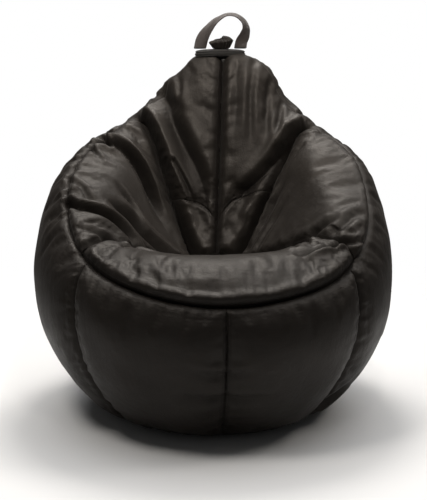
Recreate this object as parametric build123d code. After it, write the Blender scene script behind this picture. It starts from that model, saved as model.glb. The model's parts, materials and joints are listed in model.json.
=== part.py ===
from build123d import *
import os
from functools import lru_cache
from math import sin, cos, radians, hypot, atan2, degrees, pi

os.makedirs("parts", exist_ok=True)

# ---- driving dimensions (mm, degrees); origin = centre of the base, on the floor
BELLY_RADIUS = 432.0        # widest ring of the filled bag
BELLY_HEIGHT = 318.0
FOOT_RADIUS = 222.0         # flat patch resting on the floor
FOOT_FULLNESS = 0.35        # how far the bag swells just above the floor
LIP_RADIUS = 300.0          # crest of the seat lip at the front
LIP_HEIGHT = 438.0
ARM_RADIUS = 348.0          # crest over each arm
ARM_HEIGHT = 600.0
SHOULDER_RADIUS = 290.0     # where arm and backrest meet
SHOULDER_HEIGHT = 702.0
NECK_RADIUS = 236.0         # gathered neck at the top of the backrest
NECK_HEIGHT = 863.0
WELL_FLOOR = 345.0          # lowest point of the seat hollow
NECK_AZIMUTH = 170.0        # 0 = front, 180 = straight behind
COVER = 2.0                 # leather cover and its wadding
SEAM_GAP = 1.0              # between cover pieces
ARM_GAP = 1.6               # the same round the arms, where the pieces curl most
LINER_CLEAR = 0.6           # cover to inner bag
HOLLOW_CLEAR = 3.0          # the same in the seat hollow
BASE_THICKNESS = 2.5
BASE_CLEAR = 0.5            # base piece to the cover around it
REST_CLEAR = 0.3            # between pieces that lie against each other

FRONT_SEAM_L, FRONT_SEAM_R = -52.0, 48.0    # upright seams beside the front
REAR_SEAM_L, REAR_SEAM_R = -128.0, 128.0    # upright seams beside the back
DEEP_SEAM_L, DEEP_SEAM_R = -140.0, 120.0    # arm to backrest
BACK_SEAM = 170.0                           # down the middle of the backrest
SEAT_TURN = 5.0             # the seat reaches this far past each front seam
ARM_START = 3.0             # and each arm starts this far beyond it
SEAT_PEAK = (12.0, 46.0)    # plan place of the seat's farthest point back
SEAT_END = 26.0             # the seat's last row to its corner

ZIP_HALF_ANGLE = 38.0       # opening either side of the middle of the back
ZIP_GAP = 8.0               # between the cover edges along the zip
TAPE_WIDTH = 13.0
TAPE_THICKNESS = 0.8
TAPE_DEPTH = 1.8            # under the cover
COIL_WIDTH = 1.6
COIL_RISE = 2.0             # out from the tape
COIL_SPACE = 1.0            # from the middle line to each coil
ZIP_POCKET = 11.0           # how far the inner bag gives way behind the zip
STOP_LENGTH = 3.0
SLIDER_LENGTH = 13.0
SLIDER_PLATE = 1.4
SLIDER_PLAY = 0.45          # coil to plate
CROWN = (2.4, 4.2, 6.6)     # loop on the slider that holds the pull
PULL_LENGTH = 34.0
PULL_WIDTH = 8.6
PULL_THICKNESS = 1.4
PULL_EYE = (4.2, 5.4)
PULL_LIFT = 0.1             # pin above the middle line

STRAP_WIDTH = 32.0
STRAP_THICKNESS = 3.4
STRAP_ROUTE = [(-60, 0), (-54, 24), (-39, 50), (-13, 77), (20, 88), (48, 77), (61, 54), (57, 32), (48, 15), (45, 0)]
STRAP_TWIST = 82.0          # face of the webbing, from its ends to its top
HEM_RADIUS = 2.1            # rolled ends of the loop, which turn on the band
HEM_OVERHANG = 1.0          # stitching that bulges past the webbing
BAND_HEIGHT = 20.0
BAND_DEPTH = 40.0
BAND_ROUND = 4.0
TUFT_HEIGHT = 32.0
TUFT_DEPTH = 16.0
TUFT_SHIFT = -5.0           # from the middle of the neck
NECK_SET_BACK = -2.0


def mix(a, b, t):
    return a + (b - a) * t


def turn(azimuth):
    return (azimuth + 180) % 360 - 180


def constant(value):
    return lambda azimuth: value


def through(stations, x):
    """smooth curve through (position, value) stations without overshoot"""
    xs = [p[0] for p in stations]
    ys = [p[1] for p in stations]
    h = [b - a for a, b in zip(xs, xs[1:])]
    d = [(b - a) / w for a, b, w in zip(ys, ys[1:], h)]
    m = [0.0] + [2 * a * b / (a + b) if a * b > 0 else 0.0 for a, b in zip(d, d[1:])] + [0.0]
    x = min(max(x, xs[0]), xs[-1])
    i = max(k for k in range(len(h)) if xs[k] <= x)
    t = (x - xs[i]) / h[i]
    return ((2 * t**3 - 3 * t * t + 1) * ys[i] + (t**3 - 2 * t * t + t) * h[i] * m[i]
            + (3 * t * t - 2 * t**3) * ys[i + 1] + (t**3 - t * t) * h[i] * m[i + 1])


def bisect(f, low, high):
    """where f changes sign between low and high"""
    for _ in range(40):
        middle = (low + high) / 2
        low, high = (middle, high) if (f(middle) > 0) == (f(low) > 0) else (low, middle)
    return (low + high) / 2


# ---- the skin: one flowing shape, placed by azimuth and by level
# crest line: seat lip, up over the arm, shoulder, and on to the neck
REACH = [(0, LIP_RADIUS), (35, mix(LIP_RADIUS, ARM_RADIUS, 0.3)), (60, mix(LIP_RADIUS, ARM_RADIUS, 0.94)),
         (80, ARM_RADIUS), (105, mix(ARM_RADIUS, SHOULDER_RADIUS, 0.35)), (130, SHOULDER_RADIUS),
         (155, mix(SHOULDER_RADIUS, NECK_RADIUS, 0.66)), (166, NECK_RADIUS + 4), (180, NECK_RADIUS)]
RISE = [(0, LIP_HEIGHT), (35, LIP_HEIGHT + 2), (60, mix(LIP_HEIGHT, ARM_HEIGHT, 0.25)),
        (80, mix(LIP_HEIGHT, ARM_HEIGHT, 0.75)), (105, mix(ARM_HEIGHT, SHOULDER_HEIGHT, 0.4)),
        (130, SHOULDER_HEIGHT), (145, mix(SHOULDER_HEIGHT, NECK_HEIGHT, 0.36)),
        (154, mix(SHOULDER_HEIGHT, NECK_HEIGHT, 0.64)), (164, NECK_HEIGHT - 4), (180, NECK_HEIGHT)]


@lru_cache(maxsize=None)
def crest(azimuth):
    """radius and height of the crest, its stations softened into one flowing line"""
    reach = rise = 0.0
    for k in range(-3, 4):
        a = (azimuth + 3 * k) % 360
        u = a * 180 / NECK_AZIMUTH if a <= NECK_AZIMUTH else (360 - a) * 180 / (360 - NECK_AZIMUTH)
        reach += through(REACH, u) / 7
        rise += through(RISE, u) / 7
    return min(reach, 0.9 * BELLY_RADIUS), rise


def bezier(p, t):
    a = 1 - t
    return [a**3 * p[0][k] + 3 * a * a * t * p[1][k] + 3 * a * t * t * p[2][k] + t**3 * p[3][k] for k in (0, 1)]


def skin(azimuth, level):
    """level runs 0 floor edge, 1 belly, 2 crest, 3 middle of the seat hollow"""
    rm, zb = BELLY_RADIUS, BELLY_HEIGHT
    rc, zc = crest(azimuth)
    profile = ([(FOOT_RADIUS, 0), (mix(FOOT_RADIUS, rm, FOOT_FULLNESS), 0), (rm, 0.5 * zb), (rm, zb)],
               [(rm, zb), (rm, mix(zb, zc, 0.6)), (mix(rc, rm, 0.62), zc), (rc, zc)],
               [(rc, zc), (0.65 * rc, zc), (0.45 * rc, WELL_FLOOR), (0, WELL_FLOOR)])
    i = min(int(level), 2)
    r, z = bezier(profile[i], level - i)
    a = radians(azimuth)
    return Vector(r * sin(a), -r * cos(a), z)


def inset(azimuth, level, depth):
    """point of the skin moved straight inwards"""
    low, high = max(level - 0.004, 0.001), min(level + 0.004, 2.999)
    along = skin(azimuth, high) - skin(azimuth, low)
    across = skin(azimuth + 0.4, level) - skin(azimuth - 0.4, level)
    return skin(azimuth, level) + along.cross(across).normalized() * depth


def over(x, y):
    """skin point straight above a plan position inside the belly ring"""
    a, r = degrees(atan2(x, -y)), hypot(x, y)
    return skin(a, bisect(lambda s: hypot(skin(a, s).X, skin(a, s).Y) - r, 1.0, 3.0))


# ---- seam lines
def rim(azimuth):
    """outer edge of the seat and arms: the seam under the lip and outside the arms"""
    a = turn(azimuth)
    t = min(abs(a) / (100 if a < 0 else 125), 1.0)
    return mix(1.28, 1.96, t * t * (3 - 2 * t))


def waist(azimuth):
    """cross seam low on the backrest: a shallow V"""
    a = azimuth % 360
    if a < BACK_SEAM:
        return mix(2.66, 2.47, (BACK_SEAM - a) / (BACK_SEAM - DEEP_SEAM_R))
    return mix(2.66, 2.53, (a - BACK_SEAM) / (360 + DEEP_SEAM_L - BACK_SEAM))


SEAT_TURN_L, SEAT_TURN_R = FRONT_SEAM_L - SEAT_TURN, FRONT_SEAM_R + SEAT_TURN - 1
CORNER_L, CORNER_R = [skin(a, rim(a)) for a in (SEAT_TURN_L, SEAT_TURN_R)]


def seat_back(x):
    """y of the seat piece's back edge: a wide open V over the hollow"""
    corner = CORNER_L if x < SEAT_PEAK[0] else CORNER_R
    t = (x - SEAT_PEAK[0]) / (corner.X - SEAT_PEAK[0])
    return mix(SEAT_PEAK[1], corner.Y, ((t * t + 0.02)**0.5 - 0.02**0.5) / (1.02**0.5 - 0.02**0.5))


def seat_front(x):
    """y of the seat piece's front edge"""
    a = bisect(lambda a: skin(a, rim(a)).X - x, -80, 80)
    return skin(a, rim(a)).Y


def back_edge(azimuth):
    """level where this azimuth meets the seat piece's back edge"""
    return bisect(lambda s: skin(azimuth, s).Y - seat_back(skin(azimuth, s).X), rim(azimuth), 2.97)


def zip_edge(azimuth):
    """edge of the cover just above the zip"""
    return 1 + ZIP_GAP / 2 / (1.8 * (crest(azimuth)[1] - BELLY_HEIGHT))


FOOT_EDGE = constant(0.015)
LOW_ZIP_EDGE = constant(1 - ZIP_GAP / 2 / (1.5 * BELLY_HEIGHT))


# ---- makers
def sheet(rows):
    """cover piece through flat rows of points, each thickened inside its own plane (normal: across)"""
    wires = []
    for points, across in rows:
        under = []
        for k, p in enumerate(points):
            along = points[min(k + 1, len(points) - 1)] - points[max(k - 1, 0)]
            under.append(p + along.cross(across).normalized() * COVER)
        wires.append(Wire([Edge.make_spline(points), Edge.make_line(points[-1], under[-1]),
                           Edge.make_spline(under[::-1]), Edge.make_line(under[0], points[0])]))
    return Solid.make_loft(wires, ruled=True)


def panel(a0, a1, lower, upper, rows=18, points=18, gap=SEAM_GAP):
    """cover piece between two azimuths and two edges given as functions of azimuth"""
    edge = degrees(gap / 2 / (0.6 * BELLY_RADIUS))
    made = []
    for i in range(rows + 1):
        a = mix(a0 + edge, a1 - edge, i / rows)
        s0, s1 = lower(a), upper(a)
        step = gap / 2 * (s1 - s0) / (skin(a, s1) - skin(a, s0)).length
        line = [skin(a, mix(s0 + step, s1 - step, k / points)) for k in range(points + 1)]
        made.append((line, Vector(cos(radians(a)), sin(radians(a)), 0)))
    return sheet(made)


def seat_piece(rows=32, points=22):
    """the seat over the lip, in rows from front to back"""
    made = []
    for i in range(rows + 1):
        x = mix(CORNER_L.X + SEAT_END, CORNER_R.X - SEAT_END, i / rows)
        y0, y1 = seat_front(x) + SEAM_GAP / 2, seat_back(x) - SEAM_GAP
        line = [over(x, mix(y0, y1, k / points)) for k in range(points + 1)]
        made.append(([Vector(x, p.Y, p.Z) for p in line], Vector(1, 0, 0)))
    return sheet(made)


def sector(r0, r1, z0, z1, half_angle, around=0.0):
    """ring segment about the upright axis, centred straight behind"""
    section = Plane.YZ * Pos((r0 + r1) / 2, (z0 + z1) / 2) * Rectangle(r1 - r0, z1 - z0)
    return Rot(0, 0, around - half_angle) * revolve(section, Axis.Z, 2 * half_angle)


def flat_ring(radius, height, points):
    angles = [radians(k * 360 / points) for k in range(points)]
    return [Vector(radius * sin(a), -radius * cos(a), height) for a in angles]


def inner_bag(rings=42, points=40, middle=16.0):
    """bag full of beads, one plain body under the cover"""
    loops = [flat_ring(FOOT_RADIUS - 1, BASE_THICKNESS + REST_CLEAR, points)]
    for level in [3 * k / rings for k in range(1, rings)] + [2.965]:
        depth = COVER + mix(LINER_CLEAR, HOLLOW_CLEAR, min(max((level - 1.3) / 0.6, 0), 1))
        loops.append([inset(k * 360 / points, level, depth) for k in range(points)])
    loops.append(flat_ring(middle, WELL_FLOOR - COVER - HOLLOW_CLEAR, points))
    wires = [Wire([Edge.make_spline(loop, periodic=True)]) for loop in loops]
    half_pocket = TAPE_WIDTH + 6
    return Solid.make_loft(wires, ruled=True) - sector(BELLY_RADIUS - ZIP_POCKET, BELLY_RADIUS + 5,
                                                       BELLY_HEIGHT - half_pocket, BELLY_HEIGHT + half_pocket,
                                                       TAPE_HALF_ANGLE + 0.2)


# ---- outer cover: walls, then the seat hollow
TAPE_HALF_ANGLE = 180 - REAR_SEAM_R - 0.4
ARM_L, ARM_R = SEAT_TURN_L - ARM_START, SEAT_TURN_R + ARM_START
DEEP_L = 360 + DEEP_SEAM_L
REAR_L = 360 + REAR_SEAM_L
parts = {
    "front_left_panel": panel(FRONT_SEAM_L, 0, FOOT_EDGE, rim),
    "front_right_panel": panel(0, FRONT_SEAM_R, FOOT_EDGE, rim),
    "side_left_panel": panel(REAR_SEAM_L, FRONT_SEAM_L, FOOT_EDGE, rim, 26),
    "side_right_panel": panel(FRONT_SEAM_R, REAR_SEAM_R, FOOT_EDGE, rim, 26),
    "rear_lower_panel": panel(REAR_SEAM_R, REAR_L, FOOT_EDGE, LOW_ZIP_EDGE, 24, 12),
    "rear_right_panel": panel(REAR_SEAM_R, 180, zip_edge, rim),
    "rear_left_panel": panel(180, REAR_L, zip_edge, rim),
    "base_panel": Pos(0, 0, BASE_THICKNESS / 2) * Cylinder(FOOT_RADIUS - BASE_CLEAR, BASE_THICKNESS),
    "arm_left_panel": panel(DEEP_SEAM_L, ARM_L, rim, back_edge, 26, gap=ARM_GAP),
    "arm_right_panel": panel(ARM_R, DEEP_SEAM_R, rim, back_edge, 26, gap=ARM_GAP),
    "backrest_right_panel": panel(DEEP_SEAM_R, BACK_SEAM, rim, waist),
    "backrest_left_panel": panel(BACK_SEAM, DEEP_L, rim, waist),
    "lumbar_right_panel": panel(DEEP_SEAM_R, BACK_SEAM, waist, back_edge, 10, 8),
    "lumbar_left_panel": panel(BACK_SEAM, DEEP_L, waist, back_edge, 10, 8),
    "seat_panel": seat_piece(),
    "filled_liner": inner_bag(),
}

# ---- zip across the back, following the belly ring
TAPE_RADIUS = BELLY_RADIUS - COVER - TAPE_DEPTH
COIL_IN, COIL_OUT = TAPE_RADIUS - 0.2, TAPE_RADIUS + COIL_RISE
COIL_HALF_ANGLE = ZIP_HALF_ANGLE - 0.4
STOP_ANGLE = degrees(STOP_LENGTH / BELLY_RADIUS)
STOP_HALF_HEIGHT = COIL_SPACE + COIL_WIDTH + 0.2


def band(r0, r1, start, width, side, half_angle):
    """ring segment that starts this far above (side 1) or below (side -1) the middle line"""
    z = sorted((BELLY_HEIGHT + side * start, BELLY_HEIGHT + side * (start + width)))
    return sector(r0, r1, z[0], z[1], half_angle)


for name, side in (("upper", 1), ("lower", -1)):
    parts[f"zip_coil_{name}"] = band(COIL_IN, COIL_OUT, COIL_SPACE, COIL_WIDTH, side, COIL_HALF_ANGLE)
    parts[f"zip_tape_{name}"] = band(TAPE_RADIUS, TAPE_RADIUS + TAPE_THICKNESS, COIL_SPACE + COIL_WIDTH + REST_CLEAR,
                                     TAPE_WIDTH, side, TAPE_HALF_ANGLE)
for name, side in (("open", 1), ("closed", -1)):
    parts[f"zip_stop_{name}"] = sector(COIL_IN, COIL_OUT + 0.2, BELLY_HEIGHT - STOP_HALF_HEIGHT,
                                       BELLY_HEIGHT + STOP_HALF_HEIGHT, STOP_ANGLE / 2,
                                       side * (COIL_HALF_ANGLE + STOP_ANGLE / 2 + 0.05))

# slider parked at its closed end, on the right of the back; the pull hangs from a pin through its loop
PARK = -(COIL_HALF_ANGLE - degrees((SLIDER_LENGTH / 2 + 1.5) / BELLY_RADIUS))
HALF_SLIDER = degrees(SLIDER_LENGTH / 2 / BELLY_RADIUS)
PLATE_IN = COIL_OUT + SLIDER_PLAY
PLATE_OUT = PLATE_IN + SLIDER_PLATE
PLATE_HALF = COIL_SPACE + COIL_WIDTH + 0.8
PULL_RADIUS = PLATE_OUT + PULL_THICKNESS / 2 + 0.75


def slider():
    outer = sector(PLATE_IN, PLATE_OUT, BELLY_HEIGHT - PLATE_HALF, BELLY_HEIGHT + PLATE_HALF, HALF_SLIDER)
    inner = sector(COIL_IN - 1.8, COIL_IN - 0.6, BELLY_HEIGHT - SLIDER_PLATE - PLATE_HALF,
                   BELLY_HEIGHT + SLIDER_PLATE + PLATE_HALF, HALF_SLIDER)
    post = sector(COIL_IN - 1.0, PLATE_IN + 0.4, BELLY_HEIGHT - 0.6, BELLY_HEIGHT + 0.6, 0.45 * HALF_SLIDER)
    loop = Box(*CROWN) - Pos(0, -0.4, 0) * Box(2 * CROWN[0], 2.6, 4.0)
    return outer + inner + post + Pos(0, PLATE_OUT + 1.9, BELLY_HEIGHT) * loop


def pull():
    eye_height = PULL_EYE[1] + 1.8
    eye = Pos(0, 0, -eye_height / 2) * Box(PULL_WIDTH, PULL_THICKNESS, eye_height)
    eye -= Pos(0, 0, -PULL_EYE[1] / 2) * Box(PULL_EYE[0], 2 * PULL_THICKNESS, PULL_EYE[1])
    pin = Cylinder(PULL_THICKNESS / 2, PULL_WIDTH, rotation=(0, 90, 0))
    tab = Pos(0, 0, -eye_height - PULL_LENGTH / 2) * Box(PULL_WIDTH, PULL_THICKNESS, PULL_LENGTH)
    return Pos(0, PULL_RADIUS, BELLY_HEIGHT + PULL_LIFT) * (eye + pin + tab)


parts["zip_slider"] = Rot(0, 0, PARK) * slider()
parts["zip_pull"] = Rot(0, 0, PARK) * pull()

# ---- neck: sewn band, gathered tuft and the carrying loop
NECK_X = NECK_RADIUS * sin(radians(NECK_AZIMUTH))
NECK_Y = -NECK_RADIUS * cos(radians(NECK_AZIMUTH)) + NECK_SET_BACK
STRAP_LEFT, STRAP_RIGHT = STRAP_ROUTE[0][0], STRAP_ROUTE[-1][0]
BAND_LENGTH = STRAP_RIGHT - STRAP_LEFT + STRAP_WIDTH
BAND_SHIFT = (STRAP_LEFT + STRAP_RIGHT) / 2
BAND_Z = crest(NECK_AZIMUTH)[1] + REST_CLEAR
HINGE_Z = BAND_Z + BAND_HEIGHT + HEM_RADIUS + REST_CLEAR


def neck_band():
    block = Box(BAND_LENGTH, BAND_DEPTH, BAND_HEIGHT)
    block = fillet(block.edges().filter_by(Axis.Z), BAND_DEPTH * 0.4)
    return fillet(block.edges().group_by(Axis.Z)[-1], BAND_ROUND)


def neck_tuft():
    h = TUFT_HEIGHT
    outline = Polyline((-22, 0), (22, 0), (24, 0.55 * h), (15, 0.85 * h), (4, h), (-10, 0.8 * h), (-20, 0.6 * h),
                       close=True)
    block = extrude(Plane.XZ * make_face(outline), TUFT_DEPTH / 2, both=True)
    return fillet(block.edges().filter_by(Axis.Y).group_by(Axis.Z)[-1], 2.0)


STRAP_LINE = Edge.make_spline([Vector(x, 0, z) for x, z in STRAP_ROUTE], [Vector(0, 0, 1), Vector(0, 0, -1)])


def strap_point(t, sideways, lift):
    """the webbing stands face to the front at its ends and turns its face upwards at the top"""
    along = STRAP_LINE % t
    roll = radians(90 - STRAP_TWIST * sin(pi * t)**1.1)
    wide = along.cross(Vector(0, 1, 0)) * sin(roll) + Vector(0, 1, 0) * cos(roll)
    return STRAP_LINE @ t + wide * sideways + along.cross(wide).normalized() * lift


def strap(steps=36):
    """the loop with the rolled hems that it turns on"""
    w, h = STRAP_WIDTH / 2, STRAP_THICKNESS / 2
    corners = [(-w, -h), (w, -h), (w, h), (-w, h)]
    sections = [Wire.make_polygon([strap_point(i / steps, *corner) for corner in corners]) for i in range(steps + 1)]
    loop = Solid.make_loft(sections, ruled=True)
    hem = Cylinder(HEM_RADIUS, STRAP_WIDTH + HEM_OVERHANG, rotation=(0, 90, 0))
    return loop + Pos(STRAP_LEFT, 0, 0) * hem + Pos(STRAP_RIGHT, 0, 0) * hem


parts["neck_band"] = Pos(NECK_X + BAND_SHIFT, NECK_Y, BAND_Z + BAND_HEIGHT / 2) * neck_band()
parts["neck_tuft"] = Pos(NECK_X + TUFT_SHIFT, NECK_Y, BAND_Z + BAND_HEIGHT + REST_CLEAR) * neck_tuft()
parts["handle_strap"] = Pos(NECK_X, NECK_Y, HINGE_Z) * strap()

for name, shape in parts.items():
    export_step(shape, f"parts/{name}.step")
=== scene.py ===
# %% [markdown]
# A bean bag chair in dark faux leather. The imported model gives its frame: how big it is, where its zip and
# its carrying loop sit, and what moves. Nearly everything that is seen is made here around that frame, in
# metres.

# %% load the frame
import bpy
import bmesh
import json
import math
import numpy as np
from mathutils import Matrix, Vector, noise
from mathutils.kdtree import KDTree


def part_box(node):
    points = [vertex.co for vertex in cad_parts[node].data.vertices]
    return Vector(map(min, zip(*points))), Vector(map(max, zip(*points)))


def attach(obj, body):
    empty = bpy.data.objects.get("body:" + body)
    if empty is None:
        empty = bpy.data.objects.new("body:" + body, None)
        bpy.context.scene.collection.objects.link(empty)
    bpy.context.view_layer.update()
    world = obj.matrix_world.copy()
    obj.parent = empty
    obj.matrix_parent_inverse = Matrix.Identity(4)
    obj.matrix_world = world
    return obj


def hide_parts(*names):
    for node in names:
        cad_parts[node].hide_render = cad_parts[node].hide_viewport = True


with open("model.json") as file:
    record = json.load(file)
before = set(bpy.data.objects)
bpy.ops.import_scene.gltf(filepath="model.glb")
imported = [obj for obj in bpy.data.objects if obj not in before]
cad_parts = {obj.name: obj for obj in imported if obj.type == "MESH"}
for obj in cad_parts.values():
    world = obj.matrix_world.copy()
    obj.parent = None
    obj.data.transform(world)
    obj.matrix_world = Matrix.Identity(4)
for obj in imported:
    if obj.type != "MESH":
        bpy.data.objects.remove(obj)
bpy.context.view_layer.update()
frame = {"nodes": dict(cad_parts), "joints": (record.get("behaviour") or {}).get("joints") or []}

# %% [markdown]
# The bag is one flowing skin. Two numbers name a place on it: the azimuth, 0 at the front and 180 behind,
# and the level, which runs 0 at the floor, 1 at the belly, 2 on the crest and 3 in the middle of the seat
# hollow. A few heights and radii drive it, the same ones that the construction uses.

# %% driving sizes
base_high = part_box("base_panel")[1]
BELLY_RADIUS = 0.432
BELLY_HEIGHT = 0.318
FOOT_FULLNESS = 0.35
FOOT_RADIUS = base_high[0] + 0.0005
LIP_RADIUS, LIP_HEIGHT = 0.300, 0.438
ARM_RADIUS, ARM_HEIGHT = 0.348, 0.600
SHOULDER_RADIUS, SHOULDER_HEIGHT = 0.290, 0.702
NECK_RADIUS, NECK_HEIGHT = 0.236, 0.863
WELL_FLOOR = 0.345
NECK_AZIMUTH = 170.0
COVER = 0.002
FRONT_SEAM_L, FRONT_SEAM_R = -52.0, 48.0
REAR_SEAM_L, REAR_SEAM_R = -128.0, 128.0
DEEP_SEAM_L, DEEP_SEAM_R = -140.0, 120.0
BACK_SEAM = 170.0
ARM_FRONT_L, ARM_FRONT_R = FRONT_SEAM_L - 5, FRONT_SEAM_R + 4
ZIP_GAP = 0.008


def mix(a, b, t):
    return a + (b - a) * t


def through(stations, x):
    """smooth curve through (position, value) stations without overshoot"""
    xs, ys = np.array(stations, float).T
    h, d = np.diff(xs), np.diff(ys) / np.diff(xs)
    inner = np.where(d[:-1] * d[1:] > 0, 2 * d[:-1] * d[1:] / (d[:-1] + d[1:] + 1e-12), 0)
    m = np.concatenate([[0], inner, [0]])
    x = np.clip(x, xs[0], xs[-1])
    i = np.clip(np.searchsorted(xs, x, side="right") - 1, 0, len(h) - 1)
    t = (x - xs[i]) / h[i]
    return ((2 * t**3 - 3 * t**2 + 1) * ys[i] + (t**3 - 2 * t**2 + t) * h[i] * m[i]
            + (3 * t**2 - 2 * t**3) * ys[i + 1] + (t**3 - t**2) * h[i] * m[i + 1])


REACH = [(0, LIP_RADIUS), (35, mix(LIP_RADIUS, ARM_RADIUS, 0.3)), (60, mix(LIP_RADIUS, ARM_RADIUS, 0.94)),
         (80, ARM_RADIUS), (105, mix(ARM_RADIUS, SHOULDER_RADIUS, 0.35)), (130, SHOULDER_RADIUS),
         (155, mix(SHOULDER_RADIUS, NECK_RADIUS, 0.66)), (166, NECK_RADIUS + 0.004), (180, NECK_RADIUS)]
RISE = [(0, LIP_HEIGHT), (35, LIP_HEIGHT + 0.002), (60, mix(LIP_HEIGHT, ARM_HEIGHT, 0.25)),
        (80, mix(LIP_HEIGHT, ARM_HEIGHT, 0.75)), (105, mix(ARM_HEIGHT, SHOULDER_HEIGHT, 0.4)),
        (130, SHOULDER_HEIGHT), (145, mix(SHOULDER_HEIGHT, NECK_HEIGHT, 0.36)),
        (154, mix(SHOULDER_HEIGHT, NECK_HEIGHT, 0.64)), (164, NECK_HEIGHT - 0.004), (180, NECK_HEIGHT)]
turns = np.arange(0, 360.5, 0.5)
reach_line, rise_line = 0.0, 0.0
for k in range(-3, 4):
    around = (turns + 3 * k) % 360
    unrolled = np.where(around <= NECK_AZIMUTH, around * 180 / NECK_AZIMUTH,
                        (360 - around) * 180 / (360 - NECK_AZIMUTH))
    reach_line = reach_line + through(REACH, unrolled) / 7
    rise_line = rise_line + through(RISE, unrolled) / 7


def crest(azimuth):
    a = np.mod(azimuth, 360)
    return np.interp(a, turns, reach_line), np.interp(a, turns, rise_line)


def skin(azimuth, level):
    """plain stuffed shape, before seams and folds"""
    azimuth, level = np.broadcast_arrays(np.asarray(azimuth, float), np.asarray(level, float))
    rc, zc = crest(azimuth)
    rm, zb, one = BELLY_RADIUS, BELLY_HEIGHT, np.ones_like(rc)
    runs = ([(FOOT_RADIUS * one, 0 * one), (mix(FOOT_RADIUS, rm, FOOT_FULLNESS) * one, 0 * one),
             (rm * one, 0.5 * zb * one), (rm * one, zb * one)],
            [(rm * one, zb * one), (rm * one, mix(zb, zc, 0.6)), (mix(rc, rm, 0.62), zc), (rc, zc)],
            [(rc, zc), (0.65 * rc, zc), (0.45 * rc, WELL_FLOOR * one), (0 * rc, WELL_FLOOR * one)])
    r, z = np.zeros_like(rc), np.zeros_like(rc)
    for i, p in enumerate(runs):
        t = np.clip(level - i, 0, 1)
        use = (np.clip(np.floor(level), 0, 2) == i)
        w = ((1 - t)**3, 3 * (1 - t)**2 * t, 3 * (1 - t) * t**2, t**3)
        r = np.where(use, sum(a * b[0] for a, b in zip(w, p)), r)
        z = np.where(use, sum(a * b[1] for a, b in zip(w, p)), z)
    a = np.radians(azimuth)
    return np.stack([r * np.sin(a), -r * np.cos(a), z], -1)


def unit(v):
    return v / np.maximum(np.linalg.norm(v, axis=-1, keepdims=True), 1e-12)


def run_along(line):
    """distance from a line's start to each of its points"""
    return np.concatenate([[0], np.cumsum(np.linalg.norm(np.diff(line, axis=0), axis=1))])


def normal(azimuth, level):
    """outward direction of the plain skin"""
    low, high = np.clip(level - 0.01, 0.0, 2.98), np.clip(level + 0.01, 0.02, 2.995)
    along = skin(azimuth, high) - skin(azimuth, low)
    across = skin(azimuth + 1, np.minimum(level, 2.99)) - skin(azimuth - 1, np.minimum(level, 2.99))
    return unit(np.cross(across, along))


print("skin at the neck", skin(NECK_AZIMUTH, 2.0).round(3), "faces", normal(0.0, 1.0).round(2))

# %% [markdown]
# Seams are where the cover pieces meet. Each is a route over the skin. The seam under the lip and outside
# the arms, the V low on the backrest and the back edge of the seat are curves; the others run straight up.


# %% seam routes
def turn(a):
    return (a + 180) % 360 - 180


def rim(azimuth):
    a = turn(np.asarray(azimuth, float))
    t = np.clip(np.abs(a) / np.where(a < 0, 100, 125), 0, 1)
    return mix(1.28, 1.96, t * t * (3 - 2 * t))


def waist(azimuth):
    a = np.mod(azimuth, 360)
    return np.where(a < BACK_SEAM, mix(2.71, 2.47, (BACK_SEAM - a) / (BACK_SEAM - DEEP_SEAM_R)),
                    mix(2.71, 2.53, (a - BACK_SEAM) / (360 + DEEP_SEAM_L - BACK_SEAM)))


SEAT_PEAK = (0.012, 0.046)     # plan position of the rearmost point of the seat panel


def seat_back(x):
    left, right = skin(ARM_FRONT_L, rim(ARM_FRONT_L)), skin(ARM_FRONT_R, rim(ARM_FRONT_R))
    peak = SEAT_PEAK
    t = np.where(x < peak[0], (peak[0] - x) / (peak[0] - left[0]), (x - peak[0]) / (right[0] - peak[0]))
    end = np.where(x < peak[0], left[1], right[1])
    return mix(peak[1], end, (np.sqrt(t * t + 0.02) - 0.02**0.5) / (1.02**0.5 - 0.02**0.5))


HALVINGS = 34


def solve(f, low, high):
    """where f changes sign between low and high, for whole arrays at once"""
    low, high = np.array(low, float), np.array(high, float)
    start = np.sign(f(low))
    for _ in range(HALVINGS):
        middle = (low + high) / 2
        same = np.sign(f(middle)) == start
        low, high = np.where(same, middle, low), np.where(same, high, middle)
    return (low + high) / 2


def back_edge(azimuth):
    azimuth = np.asarray(azimuth, float)

    def beyond(s):
        p = skin(azimuth, s)
        return p[..., 1] - seat_back(p[..., 0])
    return solve(beyond, rim(azimuth), np.full(azimuth.shape, 2.97))


def over(x, y):
    """azimuth and level of the skin above a plan position"""
    a, r = np.degrees(np.arctan2(x, -y)), np.hypot(x, y)

    def too_wide(s):
        there = skin(a, s)
        return np.hypot(there[..., 0], there[..., 1]) - r
    return a, solve(too_wide, np.full(a.shape, 1.0), np.full(a.shape, 3.0))


UPRIGHT_POINTS, LEVEL_POINTS, SEAT_POINTS = 60, 90, 110


def upright(azimuth, low, high):
    return np.full(UPRIGHT_POINTS, float(azimuth)), np.linspace(low, high, UPRIGHT_POINTS)


def level_run(a0, a1, level):
    a = np.linspace(a0, a1, LEVEL_POINTS)
    return a, level(a)


def seat_edge():
    left, right = skin(ARM_FRONT_L, rim(ARM_FRONT_L))[0], skin(ARM_FRONT_R, rim(ARM_FRONT_R))[0]
    x = np.linspace(left, right, SEAT_POINTS)
    return over(x, seat_back(x))


def rim_at(a):
    return float(rim(a))


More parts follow.
